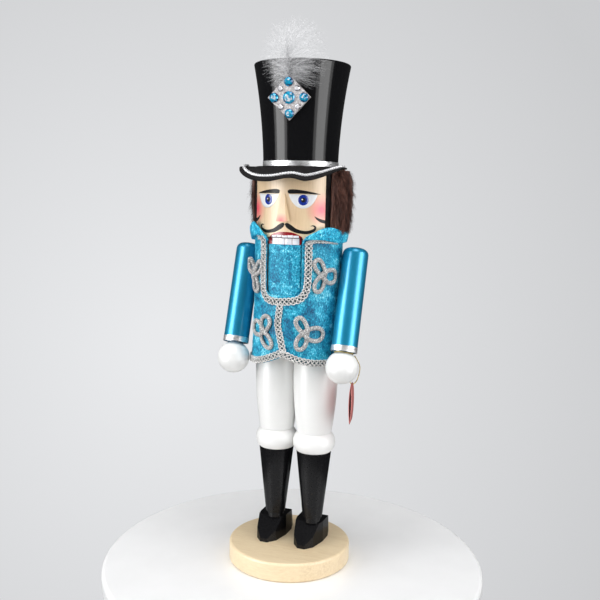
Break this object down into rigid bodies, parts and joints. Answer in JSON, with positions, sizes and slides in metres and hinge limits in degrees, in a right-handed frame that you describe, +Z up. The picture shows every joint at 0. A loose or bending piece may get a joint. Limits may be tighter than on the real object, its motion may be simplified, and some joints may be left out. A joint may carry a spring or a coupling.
{
  "type": "nutcracker figure",
  "caption": "Standing wooden toy-soldier nutcracker on a round base, with a lever jaw, swinging arms, tall plumed hat and braided velvet vest.",
  "frame": {"origin": "on the trunk's axis, in the plane of the base's underside; the base's own centre is 3.1 mm to -X and 1.2 mm to -Y", "axes": "+Z up, -Y towards the figure's front, +X towards the figure's left hand"},
  "size_m": [0.129, 0.1098, 0.471],
  "materials": {
    "base_wood": "pale unfinished hardwood, satin",
    "dowel_wood": "plain beech",
    "body_wood": "plain turned beech",
    "face_wood": "clear-lacquered wood with painted features",
    "pin_steel": "plain steel",
    "tooth_paint": "white gloss paint",
    "brown_fur": "long brown faux fur",
    "black_strip": "black ribbon",
    "black_gloss": "black gloss lacquer on wood",
    "silver_metal": "bright silver foil",
    "black_felt": "black felt",
    "silver_cord": "twisted silver-grey cord",
    "silver_braid": "plaited silver gimp braid",
    "blue_stone": "faceted blue rhinestone",
    "clear_stone": "faceted clear rhinestone",
    "white_feather": "white marabou down",
    "turquoise_velvet": "crushed turquoise velvet",
    "turquoise_lacquer": "metallic turquoise lacquer on wood",
    "white_lacquer": "white satin lacquer on wood",
    "gold_elastic": "gold elastic cord",
    "red_card": "blank folded red card"
  },
  "bodies": {
    "figure": {"base_disc": "base_wood", "ankle_dowels": "dowel_wood", "knee_dowels": "dowel_wood", "hip_dowels": "dowel_wood", "neck_dowels": "dowel_wood", "hat_dowel": "dowel_wood", "torso": "body_wood", "head": "face_wood", "nose": "face_wood", "jaw_pin": "pin_steel", "upper_teeth": "tooth_paint", "fur_hair": "brown_fur", "hair_edge_strips": "black_strip", "hat_body": "black_gloss", "hat_band": "silver_metal", "hat_visor": "black_felt", "visor_cord": "silver_cord", "cockade_plate": "silver_metal", "cockade_blue_stones": "blue_stone", "cockade_clear_stones": "clear_stone", "plume": "white_feather", "vest": "turquoise_velvet", "vest_braid": "silver_braid", "collar": "turquoise_velvet", "left_shoe": "black_gloss", "left_boot": "black_gloss", "left_knee_ring": "white_lacquer", "left_thigh": "white_lacquer", "frog_upper_left": "silver_cord", "frog_lower_left": "silver_cord", "right_shoe": "black_gloss", "right_boot": "black_gloss", "right_knee_ring": "white_lacquer", "right_thigh": "white_lacquer", "frog_upper_right": "silver_cord", "frog_lower_right": "silver_cord"},
    "jaw": {"jaw_lever": "turquoise_lacquer", "jaw_plastron": "turquoise_velvet", "lower_teeth": "tooth_paint"},
    "arm_left": {"left_arm": "turquoise_lacquer", "left_cuff_band": "silver_metal", "left_hand": "white_lacquer", "left_hand_peg": "dowel_wood", "left_shoulder_dowel": "dowel_wood", "wrist_elastic": "gold_elastic"},
    "arm_right": {"right_arm": "turquoise_lacquer", "right_cuff_band": "silver_metal", "right_hand": "white_lacquer", "right_hand_peg": "dowel_wood", "right_shoulder_dowel": "dowel_wood"},
    "tag": {"tag_elastic": "gold_elastic", "hang_tag": "red_card"}
  },
  "joints": [
    {"name": "jaw_open", "type": "hinge", "parent": "figure", "child": "jaw", "pos_m": [0, 0.014, 0.262], "axis": [1, 0, 0], "range_deg": [0, 25]},
    {"name": "left_shoulder", "type": "hinge", "parent": "figure", "child": "arm_left", "pos_m": [0.0505, 0.0032, 0.2744], "axis": [-1, 0, 0], "range_deg": [0, 85]},
    {"name": "right_shoulder", "type": "hinge", "parent": "figure", "child": "arm_right", "pos_m": [-0.0505, 0.0032, 0.2744], "axis": [-1, 0, 0], "range_deg": [0, 85]},
    {"name": "tag_swing", "type": "hinge", "parent": "arm_left", "child": "tag", "pos_m": [0.0505, -0.02085, 0.19857], "axis": [1, 0, 0], "range_deg": [0, 20]}
  ]
}
